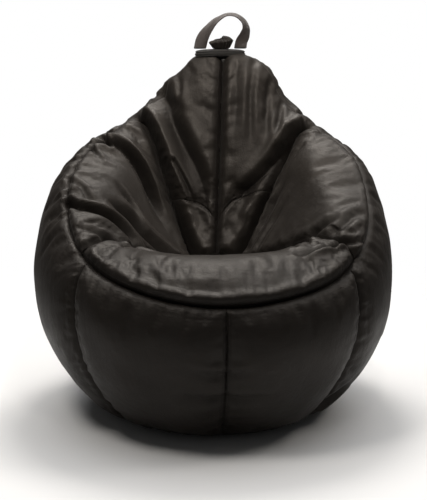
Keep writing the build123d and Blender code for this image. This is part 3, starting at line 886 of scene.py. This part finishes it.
def loop_line(n):
    """points of the loop's middle line from its route in millimetres"""
    curve = bpy.data.curves.new("loop_line", "CURVE")
    curve.dimensions = "3D"
    spline = curve.splines.new("BEZIER")
    spline.bezier_points.add(len(STRAP_ROUTE) - 1)
    spline.resolution_u = 24
    for point, (x, z) in zip(spline.bezier_points, STRAP_ROUTE):
        point.co = (x / 1000, 0, z / 1000)
        point.handle_left_type = point.handle_right_type = "AUTO"
    holder = bpy.data.objects.new("loop_line", curve)
    bpy.context.scene.collection.objects.link(holder)
    bpy.context.view_layer.update()
    mesh = bpy.data.meshes.new_from_object(holder)
    p = np.array([v.co for v in mesh.vertices])
    bpy.data.objects.remove(holder)
    run = run_along(p)
    at = np.linspace(0, run[-1], n)
    print("loop length", round(float(run[-1]), 3))
    return np.stack([np.interp(at, run, p[:, k]) for k in range(3)], -1), run[-1]


LOOP_CELLS = 260
loop_middle, loop_length = loop_line(LOOP_CELLS + 1)


# %% carrying loop
def strap_place(t, across, lift):
    """t along the loop, across from -0.5 to 0.5, lift off the middle of the webbing"""
    k = t * LOOP_CELLS
    p = np.stack([np.interp(k, np.arange(LOOP_CELLS + 1), loop_middle[:, i]) for i in range(3)], -1)
    tangent = unit(np.gradient(loop_middle, axis=0))
    tangent = np.stack([np.interp(k, np.arange(LOOP_CELLS + 1), tangent[:, i]) for i in range(3)], -1)
    end = np.clip(np.minimum(t, 1 - t) / 0.08, 0, 1)[:, None]
    tangent = unit(mix(np.array([0, 0, 1.0]) * np.where(t < 0.5, 1, -1)[:, None], tangent, end))
    y = np.array([0, 1.0, 0])
    roll = np.radians(90 - STRAP_TWIST * np.sin(np.pi * np.clip(t, 0, 1))**1.1)[:, None]
    wide = np.cross(tangent, y) * np.sin(roll) + y * np.cos(roll)
    face = unit(np.cross(tangent, wide))
    return p + wide * (across * STRAP_WIDTH)[:, None] + face * lift[:, None]


def strap_piece():
    bm = bmesh.new()
    bmesh.ops.create_cube(bm, size=1)
    across_edges = [e for e in bm.edges if abs(e.verts[0].co.y - e.verts[1].co.y) > 0.5]
    bmesh.ops.subdivide_edges(bm, edges=across_edges, cuts=23, use_grid_fill=True)
    along_edges = [e for e in bm.edges if abs(e.verts[0].co.x - e.verts[1].co.x) > 0.5]
    bmesh.ops.subdivide_edges(bm, edges=along_edges, cuts=LOOP_CELLS - 1, use_grid_fill=True)
    mesh = as_mesh(bm, "carry_loop")
    co = points_of(mesh)
    t, across, lift = co[:, 0] + 0.5, co[:, 1], co[:, 2]
    edge = np.abs(across) * 2
    thick = STRAP_THICKNESS * 0.5 * (1 - 0.45 * np.clip((edge - 0.86) / 0.14, 0, 1)**2)
    thick = thick * (1 + 0.10 * np.cos(across * 2 * np.pi * 8))
    cup = 0.0016 * (np.cos(across * np.pi * 2) - 1) * np.sin(np.pi * np.clip(t, 0, 1))
    fold = 0.0012 * np.sin(t * 23) * across * np.sin(np.pi * np.clip(t, 0, 1))
    place = strap_place(t, across, 2 * lift * thick + cup + fold) + np.array(NECK)
    mesh.vertices.foreach_set("co", place.ravel())
    uv = mesh.uv_layers.new(name="weave")
    corners = [l.vertex_index for l in mesh.loops]
    flat = np.stack([across[corners] * STRAP_WIDTH, t[corners] * loop_length], -1)
    uv.data.foreach_set("uv", flat.ravel())
    mesh.update()
    bm = bmesh.new()
    bm.from_mesh(mesh)
    bmesh.ops.recalc_face_normals(bm, faces=bm.faces)
    bm.to_mesh(mesh)
    bm.free()
    return add_object(mesh)


carry_loop = strap_piece()
HEM_HALF, HEM_SQUARE = (0.0162, 0.0026, 0.0022), 0.35
hem_bm = bmesh.new()
for end in (STRAP_ROUTE[0], STRAP_ROUTE[-1]):
    made = bmesh.ops.create_uvsphere(hem_bm, u_segments=20, v_segments=14, radius=1)["verts"]
    bmesh.ops.rotate(hem_bm, verts=made, cent=(0, 0, 0), matrix=Matrix.Rotation(math.pi / 2, 3, "Y"))
    for v in made:
        x, y, z = v.co
        v.co = (math.copysign(abs(x)**HEM_SQUARE, x) * HEM_HALF[0], y * HEM_HALF[1], z * HEM_HALF[2])
    bmesh.ops.translate(hem_bm, verts=made, vec=NECK + Vector((end[0] / 1000, 0, end[1] / 1000)))
loop_hems = add_object(as_mesh(hem_bm, "loop_hems"))
for piece in (carry_loop, loop_hems):
    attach(piece, "handle")
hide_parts("handle_strap")

# %% [markdown]
# At the neck the cover is drawn together and bound. The binding is a soft dark band wound round the gathers,
# and its dark also stands in for the shade under the loop: painted shade.
# Above it the raw ends of the cover fan out in a small pleated tuft.

# %% neck band
band_low, band_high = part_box("neck_band")
band_middle = (Vector(band_low) + Vector(band_high)) / 2
band_half = (Vector(band_high) - Vector(band_low)) / 2


def ring_shape(name, segments, rows):
    """a unit ball, the angle of each of its points and the points"""
    mesh, co = ball_mesh(name, segments, rows)
    return mesh, np.arctan2(co[:, 1], co[:, 0]), co


def reshaped(mesh, place):
    mesh.vertices.foreach_set("co", place.ravel())
    mesh.update()
    return mesh


band_mesh, angle, co = ring_shape("neck_wrap", 160, 40)
upward = np.clip(co[:, 2], -1, 1)
swell = np.clip(1 - np.abs(upward)**5, 0, 1)**0.5
gather = 1 + 0.035 * ripple(angle * 0.1 + 1, 0.02, 5) * (1 - upward) / 2
groove = 1 - 0.05 * np.exp(-((upward - 0.25) / 0.08)**2) - 0.05 * np.exp(-((upward + 0.35) / 0.08)**2)
width, depth = np.cos(angle), np.sin(angle)
power = (np.abs(width)**3 + np.abs(depth)**3)**(-1 / 3)
radial = power * swell * gather * groove
place = np.stack([band_middle.x + 0.95 * band_half.x * width * radial,
                  band_middle.y + band_half.y * 0.92 * depth * radial,
                  band_middle.z + band_half.z * upward - 0.007 * width**2 * (1 - upward) / 2], -1)
neck_wrap = add_piece(reshaped(band_mesh, place), "neck_band")
print("neck wrap", len(band_mesh.polygons), "faces")

# %% gathered tuft
tuft_low, tuft_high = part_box("neck_tuft")
tuft_mesh, angle, co = ring_shape("gathered_tuft", 140, 36)
rise = np.clip((co[:, 2] + 1) / 2, 0, 1)
fan = 0.72 + 0.5 * rise - 0.25 * np.clip(rise - 0.75, 0, 1) * 4
pleat = 1 + (0.10 + 0.16 * rise) * ripple(angle * 0.1 + 2, 0.028, 11)
body = np.clip(1 - np.abs(2 * rise - 1)**6, 0, 1)**0.5
crown = 0.84 + 0.16 * np.cos(angle - 0.5) - 0.10 * ripple(angle * 0.1 + 3, 0.03, 12)
WIDER, DEEPER, TUFT_SINK = 1.2, 1.3 * 1.3, 0.003
half_x, half_y = WIDER * (tuft_high[0] - tuft_low[0]) / 2, DEEPER * (tuft_high[1] - tuft_low[1]) / 2
spread_out = fan * pleat * body
place = np.stack([(tuft_low[0] + tuft_high[0]) / 2 + half_x * spread_out * np.cos(angle),
                  (tuft_low[1] + tuft_high[1]) / 2 - 0.004 * rise + half_y * spread_out * np.sin(angle),
                  tuft_low[2] - TUFT_SINK + (tuft_high[2] - tuft_low[2] + TUFT_SINK) * rise * crown], -1)
gathered_tuft = add_piece(reshaped(tuft_mesh, place), "neck_tuft")
print("tuft", len(tuft_mesh.polygons), "faces")

# %% [markdown]
# Finishes. A finish is a small network of nodes. A socket is wrapped so that sums and products of patterns
# can be written as plain sums and products. Constants stay on the shader's own sockets.


# %% shader helpers
class Signal:
    """a number that changes over the surface"""

    def __init__(self, finish, socket):
        self.finish, self.socket = finish, socket

    def maths(self, operation, a, b):
        return self.finish.node("ShaderNodeMath", {"operation": operation}, {0: a, 1: b})

    def __add__(self, other):
        return self.maths("ADD", self, other)

    def __sub__(self, other):
        return self.maths("SUBTRACT", self, other)

    def __mul__(self, other):
        return self.maths("MULTIPLY", self, other)

    def __rsub__(self, other):
        return self.maths("SUBTRACT", other, self)

    __radd__, __rmul__ = __add__, __mul__

    def clamp(self):
        return self.maths("MINIMUM", self.maths("MAXIMUM", self, 0.0), 1.0)


class Finish:
    """one material: a principled shader and the patterns that feed it"""

    def __init__(self, name, **constants):
        self.material = bpy.data.materials.new(name)
        self.material.use_nodes = True
        self.tree = self.material.node_tree
        self.shader = self.tree.nodes["Principled BSDF"]
        for key, value in constants.items():
            self.shader.inputs[key.replace("_", " ")].default_value = value

    def node(self, kind, settings=None, inputs=None, output=0):
        made = self.tree.nodes.new(kind)
        for key, value in (settings or {}).items():
            setattr(made, key, value)
        for key, value in (inputs or {}).items():
            if isinstance(value, Signal):
                self.tree.links.new(value.socket, made.inputs[key])
            else:
                made.inputs[key].default_value = value
        return Signal(self, made.outputs[output])

    def place(self, kind="Object"):
        return self.node("ShaderNodeTexCoord", output=kind)

    def noise(self, where, scale, detail=3.0, rough=0.55):
        inputs = {"Vector": where, "Scale": scale, "Detail": detail, "Roughness": rough}
        return self.node("ShaderNodeTexNoise", None, inputs, "Fac")

    def cells(self, where, scale):
        inputs = {"Vector": where, "Scale": scale}
        return self.node("ShaderNodeTexVoronoi", {"feature": "SMOOTH_F1"}, inputs, "Distance")

    def bands(self, direction, where, scale, **inputs):
        inputs = {"Vector": where, "Scale": scale, **inputs}
        return self.node("ShaderNodeTexWave", {"bands_direction": direction}, inputs, "Fac")

    def stretch(self, where, scale):
        return self.node("ShaderNodeMapping", None, {"Vector": where, "Scale": scale})

    def blend(self, amount, a, b):
        return self.node("ShaderNodeMix", {"data_type": "RGBA"}, {0: amount, 6: a, 7: b}, 2)

    def bump(self, height, depth, strength=1.0, base=None):
        inputs = {"Height": height, "Distance": depth, "Strength": strength}
        if base:
            inputs["Normal"] = base
        return self.node("ShaderNodeBump", None, inputs)

    def feed(self, **signals):
        for key, signal in signals.items():
            self.tree.links.new(signal.socket, self.shader.inputs[key.replace("_", " ")])
        return self.material


def color(r, g, b):
    return (r, g, b, 1.0)


def dress(pieces, material):
    for piece in pieces:
        piece.data.materials.append(material)


print("shader helpers ready")

# %% [markdown]
# Faux leather: a knitted back with a thin coat pressed into a pebble grain. The grain is cells about two
# millimetres wide with finer pores between them. Raised folds are rubbed a little paler and smoother, which
# is wear; creases are painted darker, which is painted shade, and stay dull. Both read the height which each
# cover piece carries as an attribute.


# %% leather
def leather():
    f = Finish("dark_leather", IOR=1.45, Specular_IOR_Level=0.24, Sheen_Weight=0.03, Sheen_Roughness=0.4,
               Sheen_Tint=(1.0, 0.92, 0.85, 1.0), Specular_Tint=(1.0, 0.93, 0.86, 1.0))
    where = f.place()
    warp = f.noise(where, 120, 2)
    pebbles = f.cells(where, 430) + 0.35 * f.cells(where, 900)
    pores = f.noise(where, 1500, 2)
    soft = f.noise(where, 9, 4, 0.6)
    mottle = f.noise(where, 34, 3, 0.6)
    fine_creases = f.noise(f.stretch(where, (1.0, 1.0, 0.45)), 85, 4, 0.62)
    proud = f.node("ShaderNodeAttribute", {"attribute_name": "proud"}, output="Fac")
    # share of the paler colour: high on raised folds, which is rubbed wear, and low in the creases, which
    # darkens them as painted shade; soft noise varies it at random
    paler_share = (0.5 + 0.42 * proud + 0.7 * (soft - 0.5)).clamp()
    # the darker colour is the painted shade of the creases, the paler one the rubbed raised folds
    base = f.blend(paler_share, color(0.0062, 0.0050, 0.0042), color(0.0150, 0.0126, 0.0106))
    base = f.blend((mottle - 0.35).clamp() * 0.55, base, color(0.019, 0.0158, 0.0132))
    rough = 0.53 - 0.10 * paler_share + 0.16 * (mottle - 0.5) + 0.10 * (pebbles - 0.5) + 0.05 * warp
    grain = f.bump(pebbles + 0.25 * pores, 0.00035, 0.8)
    creases = f.bump(fine_creases, 0.0016, 0.55, grain)
    dents = f.bump(mottle, 0.003, 0.35, creases)
    return f.feed(Base_Color=base, Roughness=rough.clamp(), Normal=dents)


def thread():
    f = Finish("sewing_thread", Specular_IOR_Level=0.35)
    where = f.place()
    ply = f.bands("DIAGONAL", where, 900.0)
    base = f.blend(f.noise(where, 60), color(0.010, 0.008, 0.007), color(0.034, 0.028, 0.024))
    return f.feed(Base_Color=base, Roughness=(0.5 + 0.25 * ply).clamp(), Normal=f.bump(ply, 0.0001, 0.6))


LEATHER = leather()
THREAD = thread()
dress(leather_pieces + [gathered_tuft], LEATHER)
dress(thread_pieces, THREAD)
print("leather", len(LEATHER.node_tree.nodes), "nodes")

# %% [markdown]
# Webbing is woven: ribs run along it and fine weft lines cross them. The carrying loop has its own flat map
# in metres, so the weave follows its bends. The neck band, the tapes and the inner bag take their weave
# from plain object coordinates, which is enough for their finer threads.


# %% woven finishes
def woven(name, dark, light, where_kind, ribs, weft, depth, roughness):
    f = Finish(name, Sheen_Weight=0.25, Sheen_Roughness=0.4, Specular_IOR_Level=0.35)
    where = f.place(where_kind)
    rib = f.bands("X", where, ribs, Distortion=0.3, Detail=1.0)
    cross = f.bands("Y", where, weft, Distortion=0.4, Detail=1.0)
    fuzz = f.noise(where, 2500, 2)
    cloudy = f.noise(where, 45, 3)
    height = 0.55 * rib + 0.45 * cross + 0.25 * fuzz
    base = f.blend((0.55 * height + 0.5 * (cloudy - 0.2)).clamp(), dark, light)
    return f.feed(Base_Color=base, Roughness=(roughness + 0.2 * (cloudy - 0.5) - 0.1 * rib).clamp(),
                  Normal=f.bump(height, depth, 0.9))


WEBBING = woven("strap_webbing", color(0.010, 0.008, 0.007), color(0.060, 0.046, 0.040),
                "UV", 130, 320, 0.0004, 0.55)
# dark binding, made darker than the leather: its dark also stands in for the shade under the loop at the
# neck, which is painted shade
BINDING_AND_SHADE = woven("neck_binding_and_painted_shade", color(0.004, 0.0035, 0.003), color(0.014, 0.012, 0.010),
                "Object", 300, 300, 0.0003, 0.7)
TAPE = woven("tape_weave", color(0.008, 0.0075, 0.007), color(0.028, 0.026, 0.024),
             "Object", 420, 420, 0.0002, 0.75)
LINER = woven("liner_weave", color(0.36, 0.34, 0.31), color(0.60, 0.58, 0.54),
              "Object", 380, 380, 0.0003, 0.85)
dress([carry_loop], WEBBING)
# the loop's hems and the neck band take this dark binding, whose darkness is partly painted shade
dress([loop_hems, neck_wrap], BINDING_AND_SHADE)
dress([inner_bag], LINER)
dress(tape_pieces, TAPE)
print("webbing", len(WEBBING.node_tree.nodes), "nodes")

# %% [markdown]
# The remaining finishes are small: nylon teeth, lacquered zinc on the slider with pale rubbed spots, and
# the dull grip vinyl under the bag with its pressed dots.


# %% nylon, metal and vinyl
def nylon():
    f = Finish("coil_nylon", Specular_IOR_Level=0.5)
    where = f.place()
    cloudy = f.noise(where, 200, 3)
    base = f.blend(cloudy, color(0.008, 0.008, 0.008), color(0.026, 0.025, 0.024))
    return f.feed(Base_Color=base, Roughness=(0.28 + 0.25 * cloudy).clamp(),
                  Normal=f.bump(cloudy, 0.0001, 0.4))


def gunmetal():
    f = Finish("gunmetal_lacquer")
    where = f.place()
    scuffs = f.noise(f.stretch(where, (1.0, 1.0, 0.3)), 700, 4, 0.7)
    paler_share = ((f.noise(where, 160, 4, 0.7) - 0.56) * 7).clamp()
    base = f.blend(paler_share, color(0.035, 0.034, 0.034), color(0.24, 0.22, 0.20))
    return f.feed(Base_Color=base, Metallic=(0.55 + 0.45 * paler_share).clamp(),
                  Roughness=(0.26 + 0.3 * scuffs).clamp(), Normal=f.bump(scuffs, 0.00008, 0.5))


def vinyl():
    f = Finish("grip_vinyl", Specular_IOR_Level=0.4)
    where = f.place()
    dots = f.cells(where, 260)
    dust = f.noise(where, 22, 4, 0.65)
    base = f.blend((dust - 0.3).clamp(), color(0.014, 0.013, 0.012), color(0.06, 0.056, 0.05))
    return f.feed(Base_Color=base, Roughness=(0.62 + 0.3 * (dust - 0.5)).clamp(),
                  Normal=f.bump(1 - dots, 0.0006, 0.8))


NYLON, GUNMETAL, VINYL = nylon(), gunmetal(), vinyl()
dress(coil_pieces, NYLON)
for node, finish in (("zip_slider", GUNMETAL), ("zip_pull", GUNMETAL), ("zip_stop_open", GUNMETAL),
                     ("zip_stop_closed", GUNMETAL), ("base_panel", VINYL)):
    carried = frame["nodes"][node]
    carried.data.materials.clear()
    dress([carried], finish)
print("finishes", len(bpy.data.materials))

# %% [markdown]
# A plain pale floor, soft studio light and the camera. The floor is a disc that fades out towards its rim.
# Broad lamps above and to the side light the arms and the lip from above, a narrow one reaches the
# backrest, and the surround is white to the camera but lights the bag only dimly, so that its front stays
# dark.

# %% floor
FLOOR_SOLID, FLOOR_REACH = 0.5, 1.7   # metres from the middle: solid up to here, gone at the rim


def floor():
    bm = bmesh.new()
    bmesh.ops.create_circle(bm, cap_ends=True, segments=96, radius=FLOOR_REACH)
    mesh = as_mesh(bm, "floor")
    obj = add_object(mesh)
    f = Finish("pale_floor", Roughness=0.9, Specular_IOR_Level=0.1)
    cloudy = f.noise(f.place(), 3, 2)
    away = f.node("ShaderNodeVectorMath", {"operation": "LENGTH"}, {0: f.place()}, "Value")
    fade = {"Value": away, "From Min": FLOOR_SOLID, "From Max": FLOOR_REACH, "To Min": 1.0, "To Max": 0.0}
    shown = f.node("ShaderNodeMapRange", {"interpolation_type": "SMOOTHSTEP"}, fade, "Result")
    pale = f.blend(cloudy, color(0.72, 0.72, 0.72), color(0.75, 0.75, 0.75))
    mesh.materials.append(f.feed(Base_Color=pale, Alpha=shown))


floor()
print("floor reaches", FLOOR_REACH, "m")


# %% lamps and world
LAMP_TINT = (1.0, 0.95, 0.89)
SURROUND_LIGHT, SURROUND_SEEN = 0.07, 1.0

def lamp(name, place, target, size, power, spread=180):
    light = bpy.data.lights.new(name, "AREA")
    light.shape = "DISK"
    light.size, light.energy = size, power
    light.color = LAMP_TINT
    light.spread = math.radians(spread)
    obj = bpy.data.objects.new(name, light)
    bpy.context.scene.collection.objects.link(obj)
    obj.location = place
    obj.rotation_euler = (Vector(target) - Vector(place)).to_track_quat("-Z", "Y").to_euler()


world = bpy.data.worlds.new("studio")
bpy.context.scene.world = world
world.use_nodes = True
background = world.node_tree.nodes["Background"]
background.inputs["Color"].default_value = (1, 1, 1, 1)
seen = world.node_tree.nodes.new("ShaderNodeLightPath")
brightness = world.node_tree.nodes.new("ShaderNodeMapRange")
world.node_tree.links.new(seen.outputs["Is Camera Ray"], brightness.inputs["Value"])
brightness.inputs["To Min"].default_value = SURROUND_LIGHT
brightness.inputs["To Max"].default_value = SURROUND_SEEN
world.node_tree.links.new(brightness.outputs["Result"], background.inputs["Strength"])
lamp("key", (-1.1, -0.9, 2.7), (0, 0, 0.5), 0.7, 22)
lamp("side", (1.9, -0.4, 2.1), (0, 0, 0.5), 0.6, 12)
lamp("top", (0.1, 0.9, 2.7), (0, 0, 0.45), 0.9, 40)
lamp("backrest", (0.2, -1.6, 2.6), (0, 0.22, 0.76), 0.3, 2.2, spread=34)
sky = bpy.data.lights.new("sky", "SUN")
sky.energy, sky.angle = 2.3, math.radians(70)
sky_holder = bpy.data.objects.new("sky", sky)
bpy.context.scene.collection.objects.link(sky_holder)
sky_holder.rotation_euler = (math.radians(-14), math.radians(4), 0)

# %% camera
VIEW_DISTANCE, VIEW_RISE, VIEW_TURN = 3.0, 13.0, -4.0
AIM = Vector((0, 0, 0.4))
FRAME_HEIGHT = 1.25          # metres that the picture spans at the aim point
camera_data = bpy.data.cameras.new("camera")
camera = bpy.data.objects.new("camera", camera_data)
bpy.context.scene.collection.objects.link(camera)
rise_angle, turn_angle = math.radians(VIEW_RISE), math.radians(VIEW_TURN)
back = Vector((math.sin(turn_angle) * math.cos(rise_angle), -math.cos(turn_angle) * math.cos(rise_angle),
               math.sin(rise_angle)))
camera.location = AIM + back * VIEW_DISTANCE
camera.rotation_euler = (-back).to_track_quat("-Z", "Y").to_euler()
camera_data.sensor_width = 36
camera_data.lens = 36 * VIEW_DISTANCE / FRAME_HEIGHT
bpy.context.scene.camera = camera
bpy.context.scene.view_settings.view_transform = "Standard"
print("camera at", [round(v, 3) for v in camera.location], "lens", round(camera_data.lens, 1))
